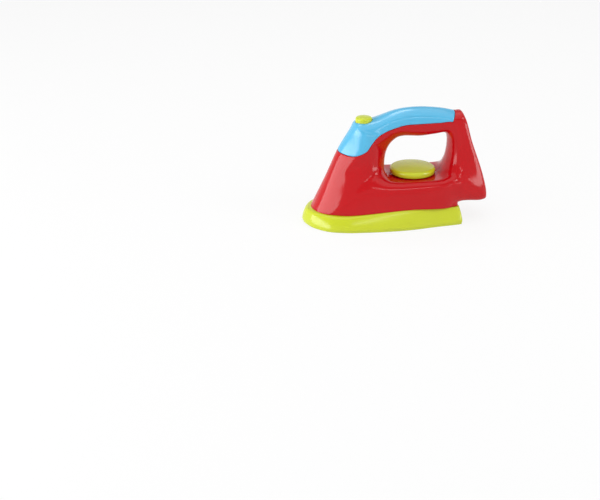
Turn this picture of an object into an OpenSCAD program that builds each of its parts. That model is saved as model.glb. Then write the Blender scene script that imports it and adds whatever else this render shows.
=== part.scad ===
// Toy iron: two glossy half shells, a handle cover, a skirted sole,
// a clicking dial under the handle and a sprung button on the nose.
// The nose points to +X, the left side is +Y, and the sole rests on z = 0.

/* [Overall] */
// Length from the sole's tip to the heel
length = 174; // [164:1:184]
// Height of the handle's crown
height = 107.5; // [102:0.5:113]

/* [Body] */
// Width of the body at the deck's shoulders
body_w = 66; // [60:1:72]
// Height of the flat deck that carries the dial
deck_z = 43; // [41:0.5:45]
// Wall thickness of the moulded shells
wall = 2.2; // [1.8:0.1:2.6]
// Place of the opening's front edge along the iron
opening_front = 9.2; // [7:0.1:11]
// Place of the opening's rear edge along the iron
opening_rear = -50.5; // [-53:0.1:-48]
// Width of the rear post at mid height
post_w = 33; // [30:1:38]
// Width of the heel
heel_w = 44; // [38:1:50]
// Height of the heel's underside
heel_z = 19.2; // [18.6:0.1:22]
// How far the body's nose stands back from the sole's tip
nose_setback = 8.5; // [7.5:0.5:10]

/* [Handle] */
// Width of the handle
handle_w = 27; // [24:0.5:31]
// Thickness of the handle at its crown
handle_t = 27; // [25:0.5:29]

/* [Sole] */
// Width of the sole at its widest
sole_w = 81.5; // [78:0.5:88]
// Place of the sole's rear edge along the iron
sole_rear = -61.5; // [-64:0.5:-59]
// Height of the skirt's top edge at the nose
skirt_h = 14; // [12:0.5:15]
// How much the skirt's top edge rises towards the middle
skirt_wave = 4.4; // [2:0.1:5]
// How far the skirt leans inwards from foot to top
skirt_lean = 5.6; // [4.5:0.1:6.5]
// Thickness of the skirt's wall
skirt_wall = 2.6; // [2:0.1:3.2]
// Thickness of the soleplate
plate_t = 2; // [1.6:0.1:2.6]

/* [Dial] */
// Place of the dial's axis along the iron
dial_x = -18; // [-20:0.5:-16]
// Diameter of the dial
dial_d = 43; // [38:0.5:46]
// Height of the dial, from its foot to the top of its dome
dial_h = 7.7; // [6:0.1:9]
// Diameter of the dial's shaft
shaft_d = 8; // [7:0.5:9]
// Number of clicks in a turn
clicks = 12; // [8:1:16]

/* [Button] */
// How far the button's axis stands back from the body's nose
button_setback = 49; // [47.5:0.5:50.5]
// Diameter of the button
button_d = 15.6; // [14:0.2:17]
// Height of the button's flat top
button_top = 100.6; // [99.6:0.2:102]
// Travel of the button
button_travel = 3; // [2:0.5:3.5]

/* [Screws] */
// Thread diameter of the screws
screw_d = 3; // [2.6:0.1:3.4]
// Diameter of the screw heads
screw_head_d = 5.6; // [5:0.1:6.2]

/* [Fits] */
// Gap between pieces that only sit beside each other
seat_gap = 0.15; // [0.1:0.05:0.3]
// Radial gap of a running fit
run_gap = 0.06; // [0.03:0.01:0.1]
// Gap around pieces that move past each other
move_gap = 0.4; // [0.3:0.05:0.6]

/* [Hidden] */
$fn = 48;

red = [0.76, 0.09, 0.12];
blue = [0.36, 0.72, 0.87];
lime = [0.79, 0.83, 0.22];
steel = [0.72, 0.73, 0.75];
white_plastic = [0.88, 0.88, 0.86];

// Half widths and end places that the outline rows below use
body_y = body_w / 2;
grip_y = handle_w / 2;
post_y = post_w / 2;
heel_y = heel_w / 2;
nose_x = length / 2 - nose_setback;
heel_x = -length / 2;
button_x = nose_x - button_setback;
grip_z = height - handle_t;
knee_z = button_top - 4.6;
keel_z = -20;
rear_step_x = sole_rear + 3.4;

// The body is swept around the handle's opening. A station is a half section:
// from the opening's edge (edge) over an inner corner (inner) and an outer corner (outer)
// to the outside edge (rim). flat is the half width of the face at the rim, seam is the share
// of the way between the corners where the cover's lower edge runs, and bed is the share
// of the inner corner's half width that stays flat at the opening's edge.
function half_section(edge, inner, outer, rim, flat, seam, bed) =
    [[edge[0], 0, edge[1]], [edge[0], bed * inner.y, edge[1]], inner,
     inner + seam * (outer - inner), outer, [rim[0], flat, rim[1]], [rim[0], 0, rim[1]]];

// Back of the rear post, from its top towards the heel
post_top_x = opening_rear - 14;
function post_back(share) = post_top_x + share * (heel_x + 1 - post_top_x);

stations = [
    // deck under the dial
    half_section([dial_x, deck_z], [dial_x, body_y, deck_z + 0.5], [dial_x, body_y + 3, keel_z],
                 [dial_x, keel_z], 18, 0.22, 0.5),
    // deck ahead of the dial
    half_section([opening_front - 6.2, deck_z], [opening_front - 6.2, body_y, deck_z + 0.5],
                 [opening_front + 5.8, body_y + 4, keel_z], [opening_front + 5.8, keel_z], 18, 0.22, 0.5),
    // front corner of the deck
    half_section([opening_front - 1, deck_z + 3], [opening_front + 5.8, body_y - 2, deck_z + 2],
                 [nose_x - 23.5, body_y + 3, keel_z], [nose_x - 19.5, keel_z], 18, 0.3, 0.45),
    // foot of the front column, out to the low side of the nose
    half_section([opening_front + 0.5, deck_z + 7], [opening_front + 11.8, body_y - 5, deck_z + 5.5],
                 [nose_x - 20.5, body_y - 1, 13.5], [nose_x + 8.5, -2], 11, 0.5, 0.35),
    // front column, out to the tip of the nose
    half_section([opening_front + 0.3, deck_z + 12], [opening_front + 14.8, body_y - 8, deck_z + 10.5],
                 [nose_x - 19, body_y - 6.5, skirt_h + 10], [nose_x, skirt_h], 11, 0.5, 0.3),
    // front column, out to the middle of the nose
    half_section([opening_front - 0.2, deck_z + 18], [opening_front + 15.8, body_y - 10, deck_z + 18],
                 [nose_x - 25.5, body_y - 13.5, 47.4], [nose_x - 12.5, 41], 7.3, 0.5, 0.3),
    // front edge of the cover
    half_section([opening_front - 1.8, knee_z - 28.5], [opening_front + 12.2, grip_y + 5, knee_z - 18.6],
                 [nose_x - 39.5, grip_y + 9.5, knee_z - 29], [nose_x - 24.5, knee_z - 27.5], 8, 0.43, 0.3),
    // cover over the upper nose
    half_section([opening_front - 5.3, knee_z - 22], [opening_front + 4.3, grip_y + 3, knee_z - 13.5],
                 [nose_x - 45.5, grip_y + 6, knee_z - 9.5], [nose_x - 35, knee_z - 10], 7, 0.34, 0.3),
    // knee of the nose
    half_section([opening_front - 11.2, grip_z - 1.5], [opening_front - 3.7, grip_y + 1.5, knee_z - 9],
                 [nose_x - 42.5, grip_y + 2.5, knee_z - 4], [nose_x - 42, knee_z], 4, 0.23, 0.3),
    // dip behind the button
    half_section([opening_front - 17.2, grip_z - 0.1], [opening_front - 14.7, grip_y, grip_z + 7.7],
                 [nose_x - 58.5, grip_y + 1, knee_z - 1], [nose_x - 58.5, knee_z + 2.2], 3.5, 0.39, 0.3),
    // handle rising to its crown
    half_section([opening_front - 23.7, grip_z - 0.2], [opening_front - 23.2, grip_y - 0.5, grip_z + 6],
                 [opening_front - 10.2, grip_y, height - 6.5], [opening_front - 10.2, height - 2], 3.5, 0.5, 0.3),
    // crown of the handle
    half_section([opening_rear + 26.5, grip_z - 0.7], [opening_rear + 25.5, grip_y - 0.5, grip_z + 5],
                 [opening_rear + 29.5, grip_y, height - 5], [opening_rear + 29.5, height], 3.5, 0.52, 0.3),
    // rear of the handle
    half_section([opening_rear + 13.5, grip_z + 0.7], [opening_rear + 12.5, grip_y - 0.5, grip_z + 5.5],
                 [opening_rear + 9.5, grip_y, height - 6.5], [opening_rear + 9.5, height - 1.6], 3.5, 0.58, 0.3),
    // rear edge of the cover
    half_section([opening_rear + 5, grip_z + 2], [opening_rear + 1.5, grip_y, grip_z + 6],
                 [opening_rear - 3, grip_y, height - 8.7], [opening_rear - 6, height - 4.8], 3.5, 0.69, 0.3),
    // rear top corner
    half_section([opening_rear + 0.7, grip_z - 1.5], [opening_rear - 3, grip_y + 1.5, grip_z + 0.5],
                 [post_top_x, grip_y, height - 11.5], [post_top_x, height - 7.4], 5, 0.45, 0.3),
    // rear post
    half_section([opening_rear - 0.3, 70], [opening_rear - 4.5, post_y, 70], [post_back(0.326), post_y - 0.5, 75],
                 [post_back(0.326), 75], 9, 0.5, 0.3),
    // foot of the rear post
    half_section([opening_rear + 1, 59], [opening_rear - 5.5, post_y + 4, 57], [post_back(0.79), heel_y - 2, 46],
                 [post_back(0.79), 46], 12, 0.45, 0.35),
    // heel above its corner
    half_section([opening_rear + 3.1, deck_z + 9], [opening_rear - 5, body_y - 8.5, deck_z + 7],
                 [heel_x + 0.3, heel_y + 1.2, heel_z + 6], [heel_x + 1, heel_z + 6], 12, 0.4, 0.4),
    // heel below its corner
    half_section([opening_rear + 5, deck_z + 5.5], [opening_rear - 3, body_y - 6.5, deck_z + 4],
                 [heel_x + 5, heel_y + 1.6, heel_z], [heel_x + 5.5, heel_z], 12, 0.4, 0.4),
    // underside of the heel
    half_section([opening_rear + 7.5, deck_z + 2.5], [opening_rear + 1.5, body_y - 4, deck_z + 2],
                 [rear_step_x - 1, heel_y + 5, heel_z], [rear_step_x - 1, heel_z], 14, 0.36, 0.45),
    // deck behind the dial
    half_section([opening_rear + 13, deck_z], [opening_rear + 13.5, body_y - 1, deck_z + 0.8],
                 [sole_rear + 18.5, body_y - 0.5, 6], [sole_rear + 10.5, 6], 18, 0.25, 0.5)
];
cover_first = 6;
cover_last = 13;

// Steps between two stations, more of them and closer ones at the tip,
// and steps along each of a section's two stretches
around = 4;
around_tip = 10;
tip_station = 4;
along = 7;
places = [for (k = [0:len(stations) - 1])
    let (at_tip = k == tip_station - 1, steps = at_tip ? around_tip : around)
    for (q = [0:steps - 1]) at_tip ? k + 1 - pow(1 - q / steps, 2) : k + q / steps];
rows = len(places);
cols = 2 * along + 1;

// Smooth curve through four neighbouring stations, at t between the middle two
function between(p, q, r, s, t) =
    0.5 * (2 * q + (r - p) * t + (2 * p - 5 * q + 4 * r - s) * t * t + (3 * q - p - 3 * r + s) * t * t * t);

function station_at(u) =
    let (n = len(stations), k = floor(u))
    between(stations[(k + n - 1) % n], stations[k % n], stations[(k + 1) % n], stations[(k + 2) % n], u - k);

// Rounded corner from a to c around b
function arc_point(a, b, c, t) = (1 - t) * (1 - t) * a + 2 * t * (1 - t) * b + t * t * c;

// Curve over two corners, q and r, from p to s
function two_corners(p, q, r, s, t) =
    let (middle = (q + r) / 2)
    t < 0.5 ? arc_point(p, q, middle, 2 * t) : arc_point(middle, r, s, 2 * t - 1);

function inner_point(c, t) = two_corners(c[0], c[1], c[2], c[3], t);
function outer_point(c, t) = two_corners(c[3], c[4], c[5], c[6], t);

// Height of the line where the body meets the skirt: it rises from the nose to a crest, then falls a little
wave_start = nose_x - 18.5;
wave_crest = dial_x + 6;
wave_end = sole_rear + 5.5;
wave_fall = 0.45;
function ease(t) = let (s = max(0, min(1, t))) s * s * (3 - 2 * s);
function skirt_top(x) =
    skirt_h + skirt_wave * (ease((wave_start - x) / (wave_start - wave_crest))
                            - wave_fall * ease((wave_crest - x) / (wave_crest - wave_end)));

// Where a section meets that line, by halving
function trim_at(c, low, high, steps) =
    let (t = (low + high) / 2, p = outer_point(c, t))
    steps == 0 ? t : p.z > skirt_top(p.x) ? trim_at(c, t, high, steps - 1) : trim_at(c, low, t, steps - 1);

function section_end(c) = c[6].z >= skirt_top(c[6].x) ? 1 : trim_at(c, 0, 1, 14);

function section_points(u) =
    let (c = station_at(u), end = section_end(c))
    concat([for (k = [0:along]) inner_point(c, k / along)],
           [for (k = [1:along]) outer_point(c, end * k / along)]);

skin = [for (u = places) section_points(u)];

function unit(v) = v / norm(v);

// Outward direction of the skin. It stays in the middle plane at the parting line,
// and level at the line on the skirt, so that both edges of the wall lie flat.
function outward(i, j) =
    let (du = skin[(i + 1) % rows][j] - skin[(i + rows - 1) % rows][j],
         dv = skin[i][min(j + 1, cols - 1)] - skin[i][max(j - 1, 0)],
         n = unit(cross(du, dv)),
         on_plane = abs(skin[i][j].y) < 0.001)
    on_plane ? unit([n.x, 0, n.z]) : j == cols - 1 ? unit([n.x, n.y, 0]) : n;

lining = [for (i = [0:rows - 1]) [for (j = [0:cols - 1]) skin[i][j] - wall * outward(i, j)]];

// Half width of the body at x and z: the skin's y on the triangle that covers that place, or 0 beside the body
function covered(a, b, c, x, z) =
    let (area = (b.x - a.x) * (c.z - a.z) - (c.x - a.x) * (b.z - a.z),
         s = ((x - a.x) * (c.z - a.z) - (c.x - a.x) * (z - a.z)) / area,
         t = ((b.x - a.x) * (z - a.z) - (x - a.x) * (b.z - a.z)) / area)
    area != 0 && s >= 0 && t >= 0 && s + t <= 1 ? a.y + s * (b.y - a.y) + t * (c.y - a.y) : 0;
function side_y(x, z) =
    max([for (i = [0:rows - 1]) let (p = skin[i], q = skin[(i + 1) % rows]) for (j = [0:cols - 2])
        max(covered(p[j], p[j + 1], q[j + 1], x, z), covered(p[j], q[j + 1], q[j], x, z))]);

// Least half width around a round boss, and on the corners of a block that stands across the body
function least_round(x, z, r) = min([for (turn = [0:30:330]) side_y(x + r * cos(turn), z + r * sin(turn))]);
function least_block(x, half_w, low, high) =
    min([for (dx = [-half_w, half_w]) for (z = [low, high]) side_y(x + dx, z)]);

// How deep bosses and ribs end below the skin, and what a piece inside keeps from it
bite = 0.35 * wall;
wall_room = 1.35 * wall;

// Closed wall between an outer and an inner grid of points, where keep says so
module wall_between(outer, inner, wraps, keep) {
    nu = len(outer);
    nv = len(outer[0]);
    cells_u = wraps ? nu : nu - 1;
    function at(i, j) = (i % nu) * nv + j;
    function under(i, j) = nu * nv + at(i, j);
    function kept(i, j) = j >= 0 && j < nv - 1 && (wraps || (i >= 0 && i < cells_u)) && keep((i + nu) % nu, j);
    function two(a, b, c, d) = [[a, b, c], [a, c, d]];
    cells = [for (i = [0:cells_u - 1]) for (j = [0:nv - 2]) if (kept(i, j)) [i, j]];
    faces = [for (q = cells) let (i = q[0], j = q[1]) each concat(
        two(at(i, j), at(i, j + 1), at(i + 1, j + 1), at(i + 1, j)),
        two(under(i, j), under(i + 1, j), under(i + 1, j + 1), under(i, j + 1)),
        kept(i, j - 1) ? [] : two(at(i, j), at(i + 1, j), under(i + 1, j), under(i, j)),
        kept(i, j + 1) ? [] : two(at(i + 1, j + 1), at(i, j + 1), under(i, j + 1), under(i + 1, j + 1)),
        kept(i - 1, j) ? [] : two(at(i, j + 1), at(i, j), under(i, j), under(i, j + 1)),
        kept(i + 1, j) ? [] : two(at(i + 1, j), at(i + 1, j + 1), under(i + 1, j + 1), under(i + 1, j)))];
    polyhedron([for (s = outer) each s, for (s = inner) each s], faces);
}

// Screws: one head and thread for all, with the lengths that their places need
screw_head_h = 2;
screw_hole_d = screw_d + 0.4;
screw_recess_d = screw_head_d + 1;
thread_gap = 0.025;
boss_wall = 1.5;
boss_d = screw_recess_d + 2 * boss_wall;

// Pan-head screw along +Z with its seat at z = 0
module screw(reach) {
    slot_w = 0.8;
    slot_deep = 1;
    difference() {
        union() {
            translate([0, 0, -screw_head_h]) cylinder(d = screw_head_d, h = screw_head_h);
            cylinder(d = screw_d, h = reach);
        }
        for (turn = [0, 90])
            rotate([0, 0, turn])
                translate([0, 0, slot_deep / 2 - screw_head_h])
                    cube([screw_head_d - 2, slot_w, slot_deep + 0.01], center = true);
    }
}

// Places along the iron and heights of the screws that join the halves
post_screw_x = (opening_rear + (post_back(0.326) + post_back(0.79)) / 2) / 2;
housing_screw_places = [[nose_x - 26, 31], [opening_front + 22, 46], [post_screw_x, 62], [heel_x + 14, 31],
                        [sole_rear + 20.5, 31]];
housing_seat_y = 6;
housing_screw_reach = 14;

module along_housing_screws() {
    for (place = housing_screw_places)
        translate([place[0], 0, place[1]]) rotate([-90, 0, 0]) children();
}

module housing_bosses() {
    for (place = housing_screw_places)
        translate([place[0], 0, place[1]]) rotate([-90, 0, 0])
            cylinder(d = boss_d, h = least_round(place[0], place[1], boss_d / 2) - bite);
}

// Posts that take the screws from below, each tied to the side wall by a rib
sole_screw_xs = [nose_x - 34.5, sole_rear + 15.5];
sole_screw_y = 17;
sole_screw_seat = 5;
cup_top = 8;
sole_screw_reach = 14;
sole_post_top = 27;
rib_t = 2.4;

module sole_posts() {
    for (x = sole_screw_xs) {
        rib_foot = skirt_top(x) + 1;
        rib_end = least_block(x, rib_t / 2, rib_foot, sole_post_top) - bite;
        translate([x, sole_screw_y, cup_top]) cylinder(d = boss_d - 1, h = sole_post_top - cup_top);
        translate([x - rib_t / 2, sole_screw_y, rib_foot])
            cube([rib_t, rib_end - sole_screw_y, sole_post_top - rib_foot]);
    }
}

module sole_post_bores() {
    for (x = sole_screw_xs)
        translate([x, sole_screw_y, cup_top - 1]) cylinder(d = screw_d + 2 * thread_gap, h = sole_screw_reach);
}

// Bosses on the handle's floor, half in each housing, for the screws of the cover
cover_screw_xs = [opening_front - 18.2, opening_rear + 12.5];
cover_boss_foot = grip_z + 0.7 * wall;
cover_boss_top = grip_z + 6.5;
cover_screw_seat = grip_z + 4;
cover_screw_reach = 12;

module handle_half_bosses() {
    for (x = cover_screw_xs)
        intersection() {
            translate([x, 0, cover_boss_foot]) cylinder(d = boss_d, h = cover_boss_top - cover_boss_foot);
            translate([x - boss_d, 0, grip_z]) cube([2 * boss_d, boss_d, handle_t]);
        }
}

module handle_floor_bores() {
    for (x = cover_screw_xs) {
        translate([x, 0, grip_z - 3]) cylinder(d = screw_recess_d, h = cover_screw_seat - grip_z + 3);
        translate([x, 0, grip_z]) cylinder(d = screw_hole_d, h = handle_t / 2);
    }
}

// Shelf that carries the button's guide, with the bore for its screw
shelf_z = 62;
shelf_t = 5;
shelf_w = 9;
guide_t = 2.4;
guide_y = least_block(button_x, shelf_w / 2, shelf_z, shelf_z + guide_t + screw_head_h) - wall_room - move_gap;
guide_screw_y = guide_y - screw_head_d / 2;
guide_screw_reach = 4;

module shelf() {
    shelf_y = guide_screw_y - screw_d / 2 - boss_wall;
    shelf_end = least_block(button_x, shelf_w / 2, shelf_z - shelf_t, shelf_z) - bite;
    translate([button_x - shelf_w / 2, shelf_y, shelf_z - shelf_t]) cube([shelf_w, shelf_end - shelf_y, shelf_t]);
}

module shelf_bore() {
    translate([button_x, guide_screw_y, shelf_z - guide_screw_reach - 0.5])
        cylinder(d = screw_d + 2 * thread_gap, h = shelf_t);
}

// Wall behind the skirt that closes the step up to the heel's floor
module rear_step() {
    step_foot = skirt_top(rear_step_x);
    translate([rear_step_x, 0, step_foot]) cube([wall, heel_y + 3, heel_z + wall / 2 - step_foot]);
}

// Spool bush in the deck: its neck is trapped between the two halves
neck_d = shaft_d + 5;
flange_d = neck_d + 5;
flange_t = 1.2;
flange_top = deck_z + seat_gap + flange_t;
flange_foot = deck_z - wall - seat_gap - flange_t;

module deck_bore() {
    translate([dial_x, 0, deck_z - 2 * wall]) cylinder(d = neck_d + 2 * seat_gap, h = 3 * wall);
}

// Click wheel and the leaf that runs under its grooves
wheel_play = 0.3;
wheel_t = 3;
wheel_d = 24;
wheel_foot = flange_foot - wheel_play - wheel_t;
groove_d = 2;
groove_ring = 9;
bump_h = 1.2;
leaf_t = 0.6;
leaf_w = 5;
leaf_top = wheel_foot - move_gap - bump_h;
leaf_post_y = 20;
leaf_post_d = 6.4;
leaf_screw_reach = 4;

module leaf_post() {
    translate([dial_x, leaf_post_y, leaf_top]) cylinder(d = leaf_post_d, h = deck_z - wall / 2 - leaf_top);
}

module leaf_post_bore() {
    translate([dial_x, leaf_post_y, leaf_top - 1]) cylinder(d = screw_d + 2 * thread_gap, h = leaf_screw_reach + 1.5);
}

in_cover = function(i, j) j >= along && places[i] >= cover_first && places[i] < cover_last;

// What both halves share, on the left side
module half_body() {
    difference() {
        union() {
            wall_between(skin, lining, true, function(i, j) !in_cover(i, j));
            housing_bosses();
            sole_posts();
            handle_half_bosses();
            shelf();
            rear_step();
        }
        sole_post_bores();
        handle_floor_bores();
        shelf_bore();
        deck_bore();
    }
}

module left_housing() {
    color(red)
        difference() {
            union() {
                half_body();
                leaf_post();
            }
            leaf_post_bore();
            along_housing_screws()
                translate([0, 0, -1]) cylinder(d = screw_d + 2 * thread_gap, h = housing_screw_reach - housing_seat_y + 2);
        }
}

module right_housing() {
    color(red)
        difference() {
            mirror([0, 1, 0]) half_body();
            along_housing_screws() {
                translate([0, 0, -body_w]) cylinder(d = screw_recess_d, h = body_w - housing_seat_y);
                translate([0, 0, -body_w]) cylinder(d = screw_hole_d, h = 2 * body_w);
            }
        }
}

// The cover runs across both halves, so its section is doubled about the middle plane
function mirrored(p) = [p.x, -p.y, p.z];
function across(grid) =
    [for (i = [0:rows - 1]) if (places[i] >= cover_first && places[i] <= cover_last)
        concat([for (j = [along:cols - 1]) grid[i][j]],
               [for (j = [cols - 2:-1:along]) mirrored(grid[i][j])])];

module handle_cover() {
    everywhere = function(i, j) true;
    color(blue)
        difference() {
            union() {
                wall_between(across(skin), across(lining), false, everywhere);
                for (x = cover_screw_xs)
                    translate([x, 0, cover_boss_top + seat_gap])
                        cylinder(d = boss_d - 2, h = cover_line(x) - wall / 2 - cover_boss_top - seat_gap);
            }
            for (x = cover_screw_xs)
                translate([x, 0, cover_boss_top - 1])
                    cylinder(d = screw_d + 2 * thread_gap, h = cover_screw_reach - 1);
            translate([button_x, 0, button_top - 14]) cylinder(d = button_d + 2 * move_gap, h = 20);
        }
}

// Height of the cover's top line at x
function cover_line(x) =
    lookup(x, [for (i = [0:rows - 1]) if (places[i] >= cover_first + 2 && places[i] <= cover_last)
        [skin[i][cols - 1].x, skin[i][cols - 1].z]]);

// Half of the sole's outline from the tip to the rear, then smoothed and doubled
sole_y = sole_w / 2;
sole_tip = length / 2;
sole_half = [[sole_tip, 0], [sole_tip - 3.6, 14.5], [sole_tip - 9, sole_y - 16.5], [sole_tip - 20, sole_y - 6.3],
             [sole_tip - 35, sole_y - 2.6], [40, sole_y - 1.1], [15, sole_y], [-10, sole_y - 1.2],
             [-36, sole_y - 5.8], [sole_rear + 4, sole_y - 9], [sole_rear + 0.6, sole_y - 11.4],
             [sole_rear, sole_y - 16], [sole_rear, 0]];
sole_loop = concat(sole_half, [for (k = [len(sole_half) - 2:-1:1]) [sole_half[k].x, -sole_half[k].y]]);
sole_steps = 4;
sole_outline = [for (k = [0:len(sole_loop) - 1]) for (q = [0:sole_steps - 1])
    let (n = len(sole_loop))
    between(sole_loop[(k + n - 1) % n], sole_loop[k], sole_loop[(k + 1) % n], sole_loop[(k + 2) % n], q / sole_steps)];

// The outline drawn in by a distance: a little more at the tip and half as much at the rear
tip_share = 1.25;
rear_share = 0.5;
sole_still = (tip_share * sole_rear + rear_share * sole_tip) / (tip_share + rear_share);
function drawn_in(p, by) =
    [sole_still + (p.x - sole_still) * (1 - tip_share * by / (sole_tip - sole_still)), p.y * (1 - by / sole_y)];

// Shares of the skirt's height and of its lean, from foot to top
skirt_profile = [[0, 0.07], [0.06, 0], [0.25, 0.1], [0.5, 0.34], [0.8, 0.72], [0.93, 0.92], [1, 1.12]];

function skirt_ring(p, extra) =
    [for (level = skirt_profile)
        let (q = drawn_in(p, level[1] * skirt_lean + extra))
        [q.x, q.y, plate_t + level[0] * (skirt_top(q.x) - seat_gap - plate_t)]];

module sole_skirt() {
    everywhere = function(i, j) true;
    outline = [for (k = [len(sole_outline) - 1:-1:0]) sole_outline[k]];
    color(lime)
        wall_between([for (p = outline) skirt_ring(p, 0)], [for (p = outline) skirt_ring(p, skirt_wall)],
                     true, everywhere);
}

module soleplate() {
    color(lime)
        difference() {
            union() {
                linear_extrude(plate_t) polygon([for (p = sole_outline) drawn_in(p, 0.7)]);
                for (x = sole_screw_xs) for (side = [-1, 1])
                    translate([x, side * sole_screw_y, 0]) cylinder(d = boss_d, h = cup_top);
            }
            for (x = sole_screw_xs) for (side = [-1, 1])
                translate([x, side * sole_screw_y, -1]) {
                    cylinder(d = screw_recess_d, h = sole_screw_seat + 1);
                    cylinder(d = screw_hole_d, h = cup_top + 2);
                }
        }
}

// Dial: a hollow domed cap on a shaft, turned about the vertical axis
dial_foot = deck_z + 0.9;
dial_wall = 2;
shaft_foot = wheel_foot;
dial_rim_r = 3;

// Outline of the dial's half section, from the middle of the dome to the rim's foot
function dial_outline(r, top, drop) =
    concat([for (a = [0:4]) [(r - dial_rim_r) * a / 4, top - drop * (a / 4) * (a / 4)]],
           [for (a = [15:15:90]) [r - dial_rim_r + dial_rim_r * sin(a), top - drop - dial_rim_r * (1 - cos(a))]],
           [[r - 0.6, dial_foot + 0.3], [r - 1, dial_foot]]);

module dial_knob() {
    r = dial_d / 2;
    top = dial_foot + dial_h;
    drop = 1.6;
    cap = concat(dial_outline(r, top, drop),
                 [[r - 1 - dial_wall, dial_foot], [r - dial_rim_r - dial_wall, top - drop - dial_wall - 0.6],
                  [0, top - dial_wall - 1]]);
    color(lime)
        translate([dial_x, 0, 0])
            difference() {
                union() {
                    rotate_extrude($fn = 96) polygon(cap);
                    translate([0, 0, flange_top]) cylinder(d = neck_d + 2, h = top - dial_wall - 0.5 - flange_top);
                    translate([0, 0, shaft_foot]) cylinder(d = shaft_d, h = flange_top - shaft_foot + 1);
                }
                translate([0, 0, shaft_foot - 1]) cylinder(d = screw_d + 2 * thread_gap, h = 11);
            }
}

module dial_bearing() {
    color(white_plastic)
        translate([dial_x, 0, 0])
            difference() {
                union() {
                    translate([0, 0, flange_top - flange_t]) cylinder(d = flange_d, h = flange_t);
                    translate([0, 0, flange_foot]) cylinder(d = neck_d, h = flange_top - flange_foot);
                    translate([0, 0, flange_foot]) cylinder(d = flange_d, h = flange_t);
                }
                translate([0, 0, flange_foot - 1]) cylinder(d = shaft_d + 2 * run_gap, h = flange_top - flange_foot + 2);
            }
}

module click_wheel() {
    color(white_plastic)
        translate([dial_x, 0, wheel_foot])
            difference() {
                cylinder(d = wheel_d, h = wheel_t);
                translate([0, 0, -1]) cylinder(d = shaft_d + 2 * thread_gap, h = wheel_t + 2);
                for (k = [0:clicks - 1])
                    rotate([0, 0, 360 * k / clicks])
                        translate([shaft_d / 2 + 2.5, 0, 0]) rotate([0, 90, 0])
                            cylinder(d = groove_d, h = wheel_d);
            }
}

washer_t = 1;
washer_d = shaft_d + 4;

module washer() {
    difference() {
        cylinder(d = washer_d, h = washer_t);
        translate([0, 0, -1]) cylinder(d = screw_hole_d, h = washer_t + 2);
    }
}

module dial_washer() {
    color(steel) translate([dial_x, 0, wheel_foot - washer_t]) washer();
}

module dial_screw() {
    color(steel) translate([dial_x, 0, wheel_foot - washer_t]) screw(10);
}

module click_spring() {
    free_y = groove_ring;
    color(steel)
        translate([dial_x, 0, leaf_top - leaf_t])
            difference() {
                union() {
                    translate([-leaf_w / 2, free_y, 0]) cube([leaf_w, leaf_post_y - free_y, leaf_t]);
                    translate([0, leaf_post_y, 0]) cylinder(d = leaf_post_d, h = leaf_t);
                    translate([0, free_y, 0]) cylinder(d = leaf_w, h = leaf_t);
                    translate([0, free_y, leaf_t]) cylinder(d1 = 2.4, d2 = 1, h = bump_h);
                }
                translate([0, leaf_post_y, -1]) cylinder(d = screw_hole_d, h = leaf_t + 2);
            }
}

module click_spring_screw() {
    color(steel) translate([dial_x, leaf_post_y, leaf_top - leaf_t]) screw(leaf_screw_reach + leaf_t);
}

// Button: a cap with a rounded edge on a stem that runs in the guide below
cap_h = 9.6;
cap_foot = button_top - cap_h;
cap_round = 2;
stem_d = 6;
stem_foot = shelf_z;
hub_d = 10;
hub_h = 3;

module steam_button() {
    r = button_d / 2;
    crown = 0.5;
    color(lime)
        translate([button_x, 0, 0])
            difference() {
                union() {
                    rotate_extrude($fn = 72)
                        polygon(concat([[0, cap_foot], [r, cap_foot]],
                                       [for (a = [0:15:90]) [r - cap_round * (1 - cos(a)),
                                                             button_top - crown - cap_round * (1 - sin(a))]],
                                       [[0, button_top]]));
                    translate([0, 0, stem_foot]) cylinder(d = stem_d, h = cap_foot - stem_foot + 1);
                }
                translate([0, 0, stem_foot - 1]) cylinder(d = screw_d + 2 * thread_gap, h = 11);
            }
}

module button_washer() {
    color(steel) translate([button_x, 0, shelf_z - washer_t]) washer();
}

module button_screw() {
    color(steel) translate([button_x, 0, shelf_z - washer_t]) screw(10);
}

module button_guide() {
    color(white_plastic)
        translate([button_x, 0, shelf_z])
            difference() {
                union() {
                    translate([-shelf_w / 2, -guide_y, 0]) cube([shelf_w, 2 * guide_y, guide_t]);
                    cylinder(d = hub_d, h = guide_t + hub_h);
                }
                translate([0, 0, -1]) cylinder(d = stem_d + 2 * run_gap, h = guide_t + hub_h + 2);
                for (side = [-1, 1])
                    translate([0, side * guide_screw_y, -1]) cylinder(d = screw_hole_d, h = guide_t + 2);
            }
}

module guide_screws() {
    color(steel)
        for (side = [-1, 1])
            translate([button_x, side * guide_screw_y, shelf_z + guide_t])
                rotate([180, 0, 0]) screw(guide_screw_reach + guide_t);
}

// Coil spring between the guide and the button's cap: one round wire, swept along its helix
wire_d = 1;
spring_d = hub_d + 1.8;
spring_turns = 7;
rings_a_turn = 8;
wire_sides = 6;

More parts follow.
